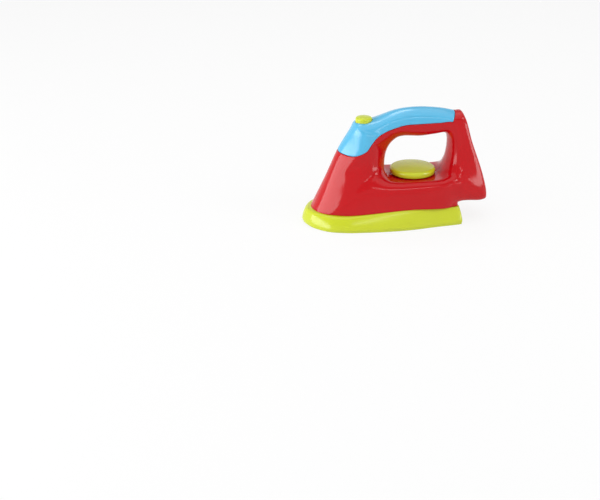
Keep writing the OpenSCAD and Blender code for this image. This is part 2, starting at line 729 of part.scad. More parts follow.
module button_spring() {
    low = shelf_z + guide_t + wire_d / 2 + 0.05;
    high = cap_foot - wire_d / 2 - 0.05;
    count = spring_turns * rings_a_turn;
    rings = [for (k = [0:count]) [for (s = [0:wire_sides - 1])
        let (turn = 360 * k / rings_a_turn, lean = 360 * s / wire_sides,
             r = spring_d / 2 + wire_d / 2 * cos(lean))
        [r * cos(turn), r * sin(turn), low + (high - low) * k / count + wire_d / 2 * sin(lean)]]];
    sides = [for (k = [0:count - 1]) for (s = [0:wire_sides - 1])
        let (a = k * wire_sides + s, b = k * wire_sides + (s + 1) % wire_sides)
        each [[a, b, b + wire_sides], [a, b + wire_sides, a + wire_sides]]];
    first_cap = [for (s = [1:wire_sides - 2]) [0, s + 1, s]];
    last = count * wire_sides;
    last_cap = [for (s = [1:wire_sides - 2]) [last, last + s, last + s + 1]];
    color(steel)
        translate([button_x, 0, 0])
            polyhedron([for (ring = rings) each ring], concat(sides, first_cap, last_cap));
}

module housing_screws() {
    color(steel)
        along_housing_screws() translate([0, 0, -housing_seat_y]) screw(housing_screw_reach);
}

module sole_screws() {
    color(steel)
        for (x = sole_screw_xs) for (side = [-1, 1])
            translate([x, side * sole_screw_y, sole_screw_seat]) screw(sole_screw_reach - 0.5);
}

module cover_screws() {
    color(steel)
        for (x = cover_screw_xs)
            translate([x, 0, cover_screw_seat]) screw(cover_screw_reach);
}

left_housing();
right_housing();
handle_cover();
sole_skirt();
soleplate();
dial_knob();
dial_bearing();
click_wheel();
dial_washer();
dial_screw();
click_spring();
click_spring_screw();
steam_button();
button_washer();
button_screw();
button_spring();
button_guide();
guide_screws();
housing_screws();
sole_screws();
cover_screws();
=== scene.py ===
from math import cos, pi, radians, sin

import bmesh
import bpy
from mathutils import Matrix, Vector
from mathutils.bvhtree import BVHTree


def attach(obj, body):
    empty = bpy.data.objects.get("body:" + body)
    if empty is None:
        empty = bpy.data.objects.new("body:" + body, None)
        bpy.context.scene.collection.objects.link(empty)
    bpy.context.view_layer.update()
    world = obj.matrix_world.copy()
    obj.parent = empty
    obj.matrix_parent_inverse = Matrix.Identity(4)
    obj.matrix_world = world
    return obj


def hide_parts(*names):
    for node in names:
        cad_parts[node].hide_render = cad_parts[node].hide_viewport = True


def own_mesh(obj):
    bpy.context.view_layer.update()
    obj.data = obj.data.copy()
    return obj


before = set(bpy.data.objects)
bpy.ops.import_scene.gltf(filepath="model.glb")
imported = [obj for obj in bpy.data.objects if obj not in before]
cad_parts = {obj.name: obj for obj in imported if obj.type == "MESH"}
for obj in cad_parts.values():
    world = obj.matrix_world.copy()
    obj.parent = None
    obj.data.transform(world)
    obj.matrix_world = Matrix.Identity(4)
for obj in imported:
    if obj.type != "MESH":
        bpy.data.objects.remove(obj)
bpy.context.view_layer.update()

# Housings: two glossy half shells of red moulded plastic that meet on the middle plane and are
# screwed together from the right side. The skin is swept around the handle's opening, so the deck,
# nose, handle floor, rear post and heel of a half are one wall of even thickness.
# Sizes are in millimetres, and MM turns them into the frame's metres.
MM = 0.001
WALL = 2.2
HEIGHT = 107.5
BODY_Y = 33
GRIP_Y = 13.5
POST_Y = 16.5
HEEL_Y = 22
DECK_Z = 43
GRIP_Z = 80.5
HEEL_Z = 19.2
# The side's sections run on down to here, and are cut off where they meet the skirt
KEEL_Z = -20
NOSE_X = 78.5
HEEL_X = -87
OPENING_FRONT = 9.2
OPENING_REAR = -50.5
SOLE_REAR = -61.5
REAR_STEP_X = SOLE_REAR + 3.4
SKIRT_H = 14
SKIRT_WAVE = 4.4
DIAL_X = -18
BEARING_NECK_R = 6.65

# A station is a half section: from the opening's edge over an inner and an outer corner to the rim.
# Then come the half width of the face at the rim, the share of the way between the corners where the
# cover's lower edge runs, and the share of the inner corner's half width that is flat at the opening.
STATIONS = [
    # deck under the dial, ahead of it, and its front corner
    ((DIAL_X, DECK_Z), (DIAL_X, BODY_Y, DECK_Z + 0.5), (DIAL_X, BODY_Y + 3, KEEL_Z),
     (DIAL_X, KEEL_Z), 18, 0.22, 0.5),
    ((OPENING_FRONT - 6.2, DECK_Z), (3, BODY_Y, DECK_Z + 0.5), (15, BODY_Y + 4, KEEL_Z),
     (15, KEEL_Z), 18, 0.22, 0.5),
    ((OPENING_FRONT - 1, DECK_Z + 3), (15, BODY_Y - 2, DECK_Z + 2), (55, BODY_Y + 3, KEEL_Z),
     (59, KEEL_Z), 18, 0.2, 0.45),
    # front column, out to the low side, the tip and the middle of the nose
    ((OPENING_FRONT + 0.5, DECK_Z + 7), (21, BODY_Y - 5, DECK_Z + 5.5), (NOSE_X - 24, BODY_Y - 1, 13.5),
     (NOSE_X + 8.5, -2), 11, 0.35, 0.35),
    ((OPENING_FRONT + 0.3, 55), (24, BODY_Y - 8, 53.5), (NOSE_X - 19, BODY_Y - 6.5, SKIRT_H + 10),
     (NOSE_X, SKIRT_H), 11, 0.5, 0.3),
    ((OPENING_FRONT - 0.2, 61), (25, BODY_Y - 10, 61), (NOSE_X - 25.5, BODY_Y - 13.5, 47.4),
     (NOSE_X - 12.5, 41), 7.3, 0.5, 0.3),
    # front edge of the cover, upper nose, knee and the dip behind the button
    ((OPENING_FRONT - 1.8, 67.5), (21.4, GRIP_Y + 5, 77.4), (39, GRIP_Y + 9.5, 67),
     (NOSE_X - 24.5, 68.5), 8, 0.43, 0.3),
    ((OPENING_FRONT - 5.3, 74), (13.5, GRIP_Y + 3, 82.5), (33, GRIP_Y + 6, 86.5),
     (NOSE_X - 35, 86), 7, 0.34, 0.3),
    ((OPENING_FRONT - 11.2, GRIP_Z - 1.5), (5.5, GRIP_Y + 1.5, 87), (36, GRIP_Y + 2.5, 92),
     (NOSE_X - 42, 96), 4, 0.23, 0.3),
    ((-8, GRIP_Z - 0.1), (-5.5, GRIP_Y, GRIP_Z + 7.7), (20, GRIP_Y + 1, 95),
     (20, 98.2), 3.5, 0.39, 0.3),
    # handle: its rise, crown, rear, and the rear edge of the cover
    ((-14.5, GRIP_Z - 0.2), (-14, GRIP_Y - 0.5, GRIP_Z + 6), (-1, GRIP_Y, HEIGHT - 6.5),
     (-1, HEIGHT - 2), 3.5, 0.5, 0.3),
    ((-24, GRIP_Z - 0.7), (-25, GRIP_Y - 0.5, GRIP_Z + 5), (-21, GRIP_Y, HEIGHT - 5),
     (-21, HEIGHT), 3.5, 0.52, 0.3),
    ((-37, GRIP_Z + 0.7), (-38, GRIP_Y - 0.5, GRIP_Z + 5.5), (-41, GRIP_Y, HEIGHT - 6.5),
     (-41, HEIGHT - 1.6), 3.5, 0.58, 0.3),
    ((OPENING_REAR + 5, GRIP_Z + 2), (-49, GRIP_Y, GRIP_Z + 6), (-53.5, GRIP_Y, HEIGHT - 8.7),
     (-56.5, HEIGHT - 4.8), 3.5, 0.69, 0.3),
    # rear top corner, rear post and its foot
    ((OPENING_REAR + 0.7, 79), (-53.5, GRIP_Y + 1.5, 81), (-64.5, GRIP_Y, HEIGHT - 11.5),
     (-64.5, HEIGHT - 7.4), 5, 0.45, 0.3),
    ((OPENING_REAR - 0.3, 70), (-55, POST_Y, 70), (-71.5, POST_Y - 0.5, 75),
     (-71.5, 75), 9, 0.5, 0.3),
    ((OPENING_REAR + 1, 59), (-56, POST_Y + 4, 57), (HEEL_X + 5.5, HEEL_Y - 2, 46),
     (HEEL_X + 5.5, 46), 12, 0.45, 0.35),
    # heel, its rear corner, its underside, and the deck behind the dial
    ((OPENING_REAR + 3.1, 52), (-55.5, BODY_Y - 8.5, 50), (HEEL_X + 0.5, HEEL_Y + 1.2, HEEL_Z + 6),
     (HEEL_X + 1.2, HEEL_Z + 6), 12, 0.34, 0.4),
    ((OPENING_REAR + 5, 48.5), (-53.5, BODY_Y - 6.5, 47), (HEEL_X + 5, HEEL_Y + 1.6, HEEL_Z),
     (HEEL_X + 5.5, HEEL_Z), 12, 0.32, 0.4),
    ((OPENING_REAR + 7.5, DECK_Z + 2.5), (-49, BODY_Y - 4, DECK_Z + 2), (REAR_STEP_X, HEEL_Y + 5, HEEL_Z),
     (REAR_STEP_X, HEEL_Z), 14, 0.28, 0.45),
    ((OPENING_REAR + 13, DECK_Z), (-37, BODY_Y - 1, DECK_Z + 0.8), (-43, BODY_Y - 0.5, 6),
     (-51, 6), 18, 0.25, 0.5),
]
# Numbers of the stations at the cover's two ends, at the nose's tip and at the step over the skirt's rear
COVER_FIRST = 6
COVER_LAST = 13
TIP = 4
STEP = 19
# Steps from a station to the next, and along each half of a section
AROUND = 8
AROUND_TIP = 14
AROUND_STEP = 16
ALONG = 18
# How much closer together the sections get towards the tip
TIP_CROWDING = 1.6
# Behind the step the heel's underside runs out towards the side, over this share of the way to the next
# station, and keeps this share of its stretch
STEP_RUN_OUT = 0.4
STEP_END = 0.41
# The skirt's top edge rises from the nose backwards, then falls again by a share of that
WAVE_START = 60
WAVE_RUN = 72
FALL_START = -12
FALL_RUN = 44
FALL_SHARE = 0.45
HALVINGS = 16
EDGE_SEGMENTS = 3
EDGE_ANGLE = 50
SHADING_ANGLE = 38


def half_section(edge, inner, outer, rim, flat, seam, bed):
    """The seven points of a station, from the opening's edge to the rim."""
    inner = Vector(inner)
    outer = Vector(outer)
    return [Vector((edge[0], 0, edge[1])), Vector((edge[0], bed * inner.y, edge[1])), inner,
            inner.lerp(outer, seam), outer, Vector((rim[0], flat, rim[1])), Vector((rim[0], 0, rim[1]))]


def between(p, q, r, s, t):
    """Smooth curve through four neighbours, at t between the middle two."""
    bend = 2 * p - 5 * q + 4 * r - s
    return 0.5 * (2 * q + (r - p) * t + bend * t ** 2 + (3 * q - p - 3 * r + s) * t ** 3)


def section_at(u):
    """The seven points at a place between two stations."""
    sections = [half_section(*row) for row in STATIONS]
    k = int(u)
    four = [sections[(k + step) % len(sections)] for step in (-1, 0, 1, 2)]
    return [between(*corner, u - k) for corner in zip(*four)]


def rounded(p, q, r, s, t):
    """Curve from p to s over the two corners q and r."""
    middle = (q + r) / 2
    if t < 0.5:
        a, b, c, w = p, q, middle, 2 * t
    else:
        a, b, c, w = middle, r, s, 2 * t - 1
    return (1 - w) ** 2 * a + 2 * w * (1 - w) * b + w ** 2 * c


def ease(t):
    """A smooth step from 0 to 1."""
    t = max(0, min(1, t))
    return t * t * (3 - 2 * t)


def skirt_top(x):
    """Height of the line where the body meets the skirt."""
    rise = ease((WAVE_START - x) / WAVE_RUN)
    fall = ease((FALL_START - x) / FALL_RUN)
    return SKIRT_H + SKIRT_WAVE * (rise - FALL_SHARE * fall)


def trimmed_end(section):
    """How much of a section's outer stretch lies above the skirt, by halving."""
    if section[6].z >= skirt_top(section[6].x):
        return 1
    low, high = 0, 1
    for _ in range(HALVINGS):
        t = (low + high) / 2
        point = rounded(*section[3:], t)
        low, high = (t, high) if point.z > skirt_top(point.x) else (low, t)
    return low


def section_places():
    """Where the sections lie, counted in stations."""
    for k in range(len(STATIONS)):
        steps = {TIP - 1: AROUND_TIP, STEP: AROUND_STEP}.get(k, AROUND)
        for q in range(steps):
            share = q / steps
            yield k + 1 - (1 - share) ** TIP_CROWDING if k == TIP - 1 else k + share


def face_out(bm, axis):
    """Turns an open skin's faces outwards: the one furthest along an axis looks along it."""
    bmesh.ops.recalc_face_normals(bm, faces=bm.faces)
    furthest = max(bm.faces, key=lambda face: getattr(face.calc_center_median(), axis))
    if getattr(furthest.normal, axis) < 0:
        bmesh.ops.reverse_faces(bm, faces=bm.faces)


def body_skin():
    """Half of the outer skin, as wires that are bridged in turn. A face layer marks the cover's part."""
    bm = bmesh.new()
    step = bm.verts.layers.int.new("step")
    is_cover = bm.faces.layers.int.new("is_cover")
    places = list(section_places())
    wires = []
    for u in places:
        section = section_at(u)
        run_out = 1 - (1 - STEP_END) * ease((u - STEP) / STEP_RUN_OUT)
        end = min(trimmed_end(section), run_out)
        points = [rounded(*section[:4], k / ALONG) for k in range(ALONG + 1)]
        points += [rounded(*section[3:], end * k / ALONG) for k in range(1, ALONG + 1)]
        verts = [bm.verts.new(point * MM) for point in points]
        for number, vert in enumerate(verts):
            vert[step] = number
        wires.append([bm.edges.new(pair) for pair in zip(verts, verts[1:])])
    for u, wire, following in zip(places, wires, wires[1:] + wires[:1]):
        strip = bmesh.ops.bridge_loops(bm, edges=wire + following)["faces"]
        for face in strip:
            outside = min(vert[step] for vert in face.verts) >= ALONG
            face[is_cover] = outside and COVER_FIRST <= u < COVER_LAST
    face_out(bm, "y")
    return bm


def only(bm, wanted):
    """A copy of the skin with only the cover's faces, where wanted is 1, or only the others."""
    part = bm.copy()
    is_cover = part.faces.layers.int["is_cover"]
    unwanted = [face for face in part.faces if face[is_cover] != wanted]
    bmesh.ops.delete(part, geom=unwanted, context="FACES")
    return part


def mirrored(bm):
    """The shape turned over to the other side of the middle plane."""
    bmesh.ops.scale(bm, vec=(1, -1, 1), verts=bm.verts)
    bmesh.ops.reverse_faces(bm, faces=bm.faces)
    return bm


def new_piece(name, bm):
    """A mesh object made of a shape, which is then used up."""
    mesh = bpy.data.meshes.new(name)
    bm.to_mesh(mesh)
    bm.free()
    piece = bpy.data.objects.new(name, mesh)
    bpy.context.scene.collection.objects.link(piece)
    return piece


def settle(piece):
    """Turns a piece's modifiers into its mesh."""
    shaped = piece.evaluated_get(bpy.context.evaluated_depsgraph_get())
    mesh = bpy.data.meshes.new_from_object(shaped)
    piece.modifiers.clear()
    piece.data = mesh


def walled(piece, thickness, rounding):
    """Gives a skin its wall, inwards, with rounded edges."""
    wall = piece.modifiers.new("wall", "SOLIDIFY")
    wall.thickness = thickness * MM
    wall.offset = -1
    edge = piece.modifiers.new("edge", "BEVEL")
    edge.width = rounding * MM
    edge.segments = EDGE_SEGMENTS
    edge.limit_method = "ANGLE"
    edge.angle_limit = radians(EDGE_ANGLE)
    edge.use_clamp_overlap = False
    settle(piece)


def joined_with(piece, bm, operation):
    """Adds closed shapes to a piece, or cuts them out of it."""
    tool = new_piece("tool", bm)
    change = piece.modifiers.new("change", "BOOLEAN")
    change.operation = operation
    change.solver = "EXACT"
    change.object = tool
    settle(piece)
    bpy.data.objects.remove(tool)


def take_in(piece, other):
    """Takes another piece's mesh into a piece, as a shell of its own."""
    bm = bmesh.new()
    bm.from_mesh(piece.data)
    bm.from_mesh(other.data)
    bm.to_mesh(piece.data)
    bm.free()
    bpy.data.objects.remove(other)


def smooth(piece):
    """Shades a piece smoothly and keeps its sharper edges."""
    piece.data.polygons.foreach_set("use_smooth", [True] * len(piece.data.polygons))
    piece.data.set_sharp_from_angle(angle=radians(SHADING_ANGLE))


def ring(bm, points):
    """The edges of a closed loop through points in millimetres."""
    verts = [bm.verts.new(point * MM) for point in points]
    return [bm.edges.new(pair) for pair in zip(verts, verts[1:] + verts[:1])]


def rod(bm, radius, start, end, sides=40):
    """A closed cylinder between two points, in millimetres."""
    start = Vector(start) * MM
    end = Vector(end) * MM
    turn = (end - start).to_track_quat("Z", "Y").to_matrix().to_4x4()
    bmesh.ops.create_cone(bm, cap_ends=True, segments=sides, radius1=radius * MM, radius2=radius * MM,
                          depth=(end - start).length, matrix=Matrix.Translation((start + end) / 2) @ turn)


class Value:
    """A value in a material's nodes. Arithmetic on it adds Math nodes, and node() adds any other."""

    def __init__(self, tree, socket=None):
        self.tree = tree
        self.socket = socket

    def node(self, kind, settings, inputs, output=0):
        made = self.tree.nodes.new(kind)
        stops = settings.pop("stops", None)
        for name, setting in settings.items():
            setattr(made, name, setting)
        if stops:
            while len(made.color_ramp.elements) < len(stops):
                made.color_ramp.elements.new(0.5)
            for element, (place, level) in zip(made.color_ramp.elements, stops):
                element.position = place
                element.color = (level, level, level, 1)
        for name, value in inputs.items():
            if isinstance(value, Value):
                self.tree.links.new(value.socket, made.inputs[name])
            else:
                made.inputs[name].default_value = value
        return Value(self.tree, made.outputs[output])

    def math(self, operation, first, second):
        return self.node("ShaderNodeMath", {"operation": operation}, {0: first, 1: second})

    def __add__(self, other):
        return self.math("ADD", self, other)

    def __mul__(self, other):
        return self.math("MULTIPLY", self, other)

    __radd__ = __add__
    __rmul__ = __mul__


def new_material(name):
    """A material with a Principled shader: its start value, and the shader's node."""
    material = bpy.data.materials.new(name)
    material.use_nodes = True
    return material, Value(material.node_tree), material.node_tree.nodes["Principled BSDF"]


def linear(red, green, blue):
    """A screen colour of 0 to 255 as the shader's linear one."""
    levels = [level / 255 for level in (red, green, blue)]
    return [level / 12.92 if level <= 0.04045 else ((level + 0.055) / 1.055) ** 2.4
            for level in levels] + [1]


def feed(start, shader, **inputs):
    """Links values to a shader's sockets, named with _ for a space."""
    for name, value in inputs.items():
        start.tree.links.new(value.socket, shader.inputs[name.replace("_", " ")])


def gloss_plastic(name, colour, deep_colour, wear_and_highlight_colour, roughness, specular=0.4):
    """Glossy moulded plastic: faint cloudiness of the pigment, handling scuffs, paler edges that are partly
    wear and partly a painted highlight, and a skin that ripples a little as it shrank in the mould."""
    material, start, shader = new_material(name)
    place = start.node("ShaderNodeTexCoord", {}, {}, "Object")
    clouds = start.node("ShaderNodeTexNoise", {}, {"Vector": place, "Scale": 28, "Detail": 3})
    stretched = start.node("ShaderNodeMapping", {},
                           {"Vector": place, "Scale": (60, 420, 900), "Rotation": (0.4, 0.9, 0.3)})
    scratches = start.node("ShaderNodeTexNoise", {}, {"Vector": stretched, "Scale": 1, "Detail": 4})
    patches = start.node("ShaderNodeTexNoise", {}, {"Vector": place, "Scale": 45, "Detail": 5})
    scuff_lines = start.node("ShaderNodeValToRGB", {"stops": [(0.60, 0), (0.70, 1)]}, {"Fac": scratches})
    scuff_places = start.node("ShaderNodeValToRGB", {"stops": [(0.48, 0), (0.68, 1)]}, {"Fac": patches})
    scuffs = scuff_lines * scuff_places
    # Convex edges, found from the mesh's pointiness, turn paler: partly wear and partly a painted highlight
    # along the edges
    point = start.node("ShaderNodeNewGeometry", {}, {}, "Pointiness")
    edges = start.node("ShaderNodeValToRGB", {"stops": [(0.52, 0), (0.60, 1)]}, {"Fac": point})
    tint = start.node("ShaderNodeMix", {"data_type": "RGBA"},
                      {"Factor": clouds, 6: deep_colour, 7: colour}, 2)
    wear_and_highlight = start.node("ShaderNodeMix", {"data_type": "RGBA"},
                      {"Factor": edges * 0.3 + scuffs * 0.05, 6: tint, 7: wear_and_highlight_colour}, 2)
    ripple = start.node("ShaderNodeTexNoise", {}, {"Vector": place, "Scale": 260, "Detail": 2})
    grain = start.node("ShaderNodeTexNoise", {}, {"Vector": place, "Scale": 2400, "Detail": 2})
    relief = ripple + grain * 0.2 + scuffs * 0.1
    bump = start.node("ShaderNodeBump", {}, {"Height": relief, "Strength": 0.03, "Distance": 0.0003})
    feed(start, shader, Base_Color=wear_and_highlight, Roughness=roughness + clouds * 0.04 + scuffs * 0.1, Normal=bump)
    shader.inputs["IOR"].default_value = 1.53
    shader.inputs["Specular IOR Level"].default_value = specular
    return material


red_plastic = gloss_plastic("red_gloss_plastic", linear(194, 10, 20), linear(184, 7, 16),
                            linear(212, 46, 52), roughness=0.1, specular=0.25)

SEAM_ROUNDING = 0.35

# Five screws from the right side, and two up through the handle's floor, each in a moulded cup
SCREW_RECESS_R = 3.3
SCREW_HOLE_R = 1.7
BOSS_R = 4.8
SCREW_SEAT_Y = 6
HOUSING_SCREWS = [(NOSE_X - 26, 31), (OPENING_FRONT + 22, 46), (-63.5, 62), (-73, 31), (-41, 31)]
COVER_SCREW_XS = (OPENING_FRONT - 18.2, OPENING_REAR + 12.5)
COVER_SCREW_SEAT = GRIP_Z + 4
MID_OPENING_Z = (DECK_Z + GRIP_Z) / 2
CUP_FLOOR = 2
CUP_SIDES = 32
# How far a cup's mouth lies inside the outer skin
CUP_INSET = 0.5

# Plan of the plinth that closes the step between the skirt's rear and the heel's underside
PLINTH = [(-24, 29.2), (-34.6, 28.9), (-46, 27.8), (-53.6, 26.2), (-57.2, 23.6),
          (-58, 18), (-58, 9), (-58, 0), (-58, -9)]
PLINTH_TOP = HEEL_Z + 6
PLINTH_STEPS = 6


def plinth_skin():
    """The left half of the plinth, as a skin that faces outwards."""
    bm = bmesh.new()
    plan = []
    corners = [Vector(corner) for corner in PLINTH]
    for four in zip(corners, corners[1:], corners[2:], corners[3:]):
        plan += [between(*four, step / PLINTH_STEPS) for step in range(PLINTH_STEPS)]
    plan.append(corners[-2])
    lower = [bm.verts.new(Vector((x, y, skirt_top(x))) * MM) for x, y in plan]
    upper = [bm.verts.new(Vector((x, y, PLINTH_TOP)) * MM) for x, y in plan]
    edges = [bm.edges.new(pair) for row in (lower, upper) for pair in zip(row, row[1:])]
    bmesh.ops.bridge_loops(bm, edges=edges)
    face_out(bm, "y")
    return bm


def screw_cup(to_place, mouth):
    """The moulded cup that a screw sits in: a closed tube with a holed floor. Heights run outwards from
    the screw's seat, and the mouth follows the skin."""
    bm = bmesh.new()
    rings = []
    for radius, height in ((BOSS_R, -CUP_FLOOR), (BOSS_R, None), (SCREW_RECESS_R, None),
                           (SCREW_RECESS_R, 0), (SCREW_HOLE_R, 0), (SCREW_HOLE_R, -CUP_FLOOR)):
        points = []
        for k in range(CUP_SIDES):
            across = radius * cos(2 * pi * k / CUP_SIDES)
            along = radius * sin(2 * pi * k / CUP_SIDES)
            points.append(to_place(across, along, mouth(across, along) if height is None else height))
        rings.append(ring(bm, points))
    for first, second in zip(rings, rings[1:] + rings[:1]):
        bmesh.ops.bridge_loops(bm, edges=first + second)
    bmesh.ops.recalc_face_normals(bm, faces=bm.faces)
    return bm


def skin_place(start, direction):
    """Where a ray first meets the left housing, in millimetres."""
    return left_tree.ray_cast(Vector(start) * MM, Vector(direction))[0] / MM


def side_cup(x, z):
    """A cup that opens to the right side. The left housing's skin, mirrored, gives its mouth."""
    def to_place(across, along, height):
        return Vector((x + across, -SCREW_SEAT_Y - height, z + along))

    def mouth(across, along):
        skin_y = skin_place((x + across, 2 * BODY_Y, z + along), (0, -1, 0)).y
        return skin_y - SCREW_SEAT_Y - CUP_INSET

    return screw_cup(to_place, mouth)


def handle_cup(x):
    """The left half of a cup that opens down, through the handle's floor."""
    def to_place(across, along, height):
        return Vector((x + across, along, COVER_SCREW_SEAT - height))

    def mouth(across, along):
        skin_z = skin_place((x + across, max(abs(along), SEAM_ROUNDING), MID_OPENING_Z), (0, 0, 1)).z
        return COVER_SCREW_SEAT - CUP_INSET - skin_z

    bm = screw_cup(to_place, mouth)
    bmesh.ops.bisect_plane(bm, geom=bm.verts[:] + bm.edges[:] + bm.faces[:], plane_co=(0, 0, 0),
                           plane_no=(0, 1, 0), clear_inner=True)
    bmesh.ops.holes_fill(bm, edges=[edge for edge in bm.edges if edge.is_boundary])
    bmesh.ops.recalc_face_normals(bm, faces=bm.faces)
    return bm


skin = body_skin()
left_housing = new_piece("left_half_shell", only(skin, 0))
right_housing = new_piece("right_half_shell", mirrored(only(skin, 0)))
for housing in (left_housing, right_housing):
    walled(housing, WALL, SEAM_ROUNDING)
plain_half = bmesh.new()
plain_half.from_mesh(left_housing.data)
left_tree = BVHTree.FromBMesh(plain_half)
plain_half.free()

for housing in (left_housing, right_housing):
    bores = bmesh.new()
    rod(bores, BEARING_NECK_R, (DIAL_X, 0, DECK_Z - 2 * WALL), (DIAL_X, 0, DECK_Z + 2 * WALL))
    for x in COVER_SCREW_XS:
        rod(bores, SCREW_RECESS_R, (x, 0, GRIP_Z - WALL), (x, 0, COVER_SCREW_SEAT))
    joined_with(housing, bores, "DIFFERENCE")

recesses = bmesh.new()
for x, z in HOUSING_SCREWS:
    rod(recesses, SCREW_RECESS_R, (x, -SCREW_SEAT_Y, z), (x, -2 * BODY_Y, z))
joined_with(right_housing, recesses, "DIFFERENCE")

for x, z in HOUSING_SCREWS:
    take_in(right_housing, new_piece("side_cup", side_cup(x, z)))
for x in COVER_SCREW_XS:
    take_in(right_housing, new_piece("right_cup", mirrored(handle_cup(x))))
    take_in(left_housing, new_piece("left_cup", handle_cup(x)))

for housing, step_skin in ((left_housing, plinth_skin()), (right_housing, mirrored(plinth_skin()))):
    step_wall = new_piece("step_wall", step_skin)
    walled(step_wall, WALL, SEAM_ROUNDING)
    take_in(housing, step_wall)

for housing, node in ((left_housing, "left_housing"), (right_housing, "right_housing")):
    smooth(housing)
    housing.data.materials.append(red_plastic)
    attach(housing, "iron")
    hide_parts(node)

# Handle cover: one light blue cap moulded across both halves, from the nose's front over the knee
# to the rear of the handle. Two screws through the handle's floor hold it down.
BUTTON_X = 29.5
BUTTON_R = 7.8
BUTTON_GAP = 0.4
BUTTON_HOLE_FOOT = HEIGHT - 20
BUTTON_HOLE_TOP = HEIGHT + 5
HOLE_SIDES = 64
COVER_ROUNDING = 0.7
COVER_GAP = 0.25
MERGE = 0.02

blue_plastic = gloss_plastic("blue_gloss_plastic", linear(86, 182, 222), linear(76, 174, 216),
                             linear(150, 212, 238), roughness=0.16, specular=0.5)
cap = only(skin, 1)
bmesh.ops.mirror(cap, geom=cap.verts[:] + cap.edges[:] + cap.faces[:], axis="Y", merge_dist=MERGE * MM)
bmesh.ops.remove_doubles(cap, verts=cap.verts, dist=MERGE * MM)
face_out(cap, "z")
edge_strip = bmesh.ops.inset_region(cap, faces=cap.faces[:], use_boundary=True, use_even_offset=True,
                                    thickness=COVER_GAP * MM)
bmesh.ops.delete(cap, geom=edge_strip["faces"], context="FACES")
skin.free()
handle_cover = new_piece("handle_cap", cap)
walled(handle_cover, WALL, COVER_ROUNDING)
button_hole = bmesh.new()
rod(button_hole, BUTTON_R + BUTTON_GAP, (BUTTON_X, 0, BUTTON_HOLE_FOOT), (BUTTON_X, 0, BUTTON_HOLE_TOP),
    HOLE_SIDES)
joined_with(handle_cover, button_hole, "DIFFERENCE")
smooth(handle_cover)
handle_cover.data.materials.append(blue_plastic)
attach(handle_cover, "iron")
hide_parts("handle_cover")

# Sole skirt: a lime moulded band that leans in from its foot to its top edge, which waves
# along the side. The housings stand on it, and the soleplate closes it from below.
SOLE_TIP = 87
SOLE_Y = 40.75
PLATE_T = 2
SKIRT_LEAN = 5.6
SKIRT_WALL = 2.6
SKIRT_ROUNDING = 0.3
SEAT_GAP = 0.15
# How much of a lean draws the tip and the rear in, against the sides
TIP_SHARE = 1.25
REAR_SHARE = 0.5
OUTLINE_STEPS = 8
SOLE_HALF = [(SOLE_TIP, 0), (SOLE_TIP - 3.6, 14), (SOLE_TIP - 9, SOLE_Y - 17.5),
             (SOLE_TIP - 20, SOLE_Y - 7.5), (SOLE_TIP - 35, SOLE_Y - 2.6), (40, SOLE_Y - 1.1), (15, SOLE_Y),
             (-10, SOLE_Y - 1.2), (-36, SOLE_Y - 5.8), (SOLE_REAR + 4, SOLE_Y - 9),
             (SOLE_REAR + 0.6, SOLE_Y - 11.4), (SOLE_REAR, SOLE_Y - 16), (SOLE_REAR, SOLE_Y - 23),
             (SOLE_REAR, 0)]
# Shares of the skirt's height, of its lean at the side and rear, and of its lean at the tip, from the foot
# over the rounded top edge to a ledge under the housings
SKIRT_PROFILE = [(0, 0.07, 0.07), (0.02, 0.02, 0.02), (0.06, 0, 0), (0.14, 0.04, 0.02), (0.25, 0.1, 0.05),
                 (0.5, 0.34, 0.15), (0.8, 0.72, 0.34), (0.9, 0.86, 0.45), (0.95, 0.94, 0.55),
                 (0.985, 1.03, 0.7), (1, 1.12, 0.9), (1, 1.75, 1.75)]

lime_plastic = gloss_plastic("lime_gloss_plastic", linear(200, 210, 42), linear(192, 203, 34),
                             linear(226, 232, 112), roughness=0.18)


def sole_outline():
    """The sole's outline in plan, from the tip along the left side and back along the right."""
    loop = [Vector(point) for point in SOLE_HALF]
    loop += [Vector((point.x, -point.y)) for point in loop[-2:0:-1]]
    count = len(loop)
    for k in range(count):
        four = [loop[(k + step) % count] for step in (-1, 0, 1, 2)]
        for q in range(OUTLINE_STEPS):
            yield between(*four, q / OUTLINE_STEPS)


def drawn_in(point, by, by_at_tip):
    """A point of the outline, drawn in by a distance at the sides, and by shares of it at the two ends."""
    still = (TIP_SHARE * SOLE_REAR + REAR_SHARE * SOLE_TIP) / (TIP_SHARE + REAR_SHARE)
    along = TIP_SHARE * (point.x - still) / (SOLE_TIP - still)
    return Vector((point.x - along * (by_at_tip if along > 0 else by), point.y * (1 - by / SOLE_Y)))


band = bmesh.new()
rings = []
for rise, lean, tip_lean in SKIRT_PROFILE:
    level = []
    for point in sole_outline():
        inset = drawn_in(point, lean * SKIRT_LEAN, tip_lean * SKIRT_LEAN)
        full_rise = skirt_top(inset.x) - SEAT_GAP - PLATE_T
        level.append(Vector((inset.x, inset.y, PLATE_T + rise * full_rise)))
    rings.append(ring(band, level))
for lower, upper in zip(rings, rings[1:]):
    bmesh.ops.bridge_loops(band, edges=lower + upper)
face_out(band, "y")
sole_skirt = new_piece("sole_band", band)
walled(sole_skirt, SKIRT_WALL, SKIRT_ROUNDING)
smooth(sole_skirt)
sole_skirt.data.materials.append(lime_plastic)
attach(sole_skirt, "iron")
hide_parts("sole_skirt")

# Soleplate: a flat lime plate with a rounded edge, a little smaller than the skirt's foot.
# Four cups moulded into it take the screws that reach up into the housings.
PLATE_INSET = 0.7
CUP_TOP = 8
CUP_R = 4.8
SOLE_SCREW_SEAT = 5
SOLE_SCREW_XS = (44, -46)
SOLE_SCREW_Y = 17
PLATE_ROUNDING = 0.6

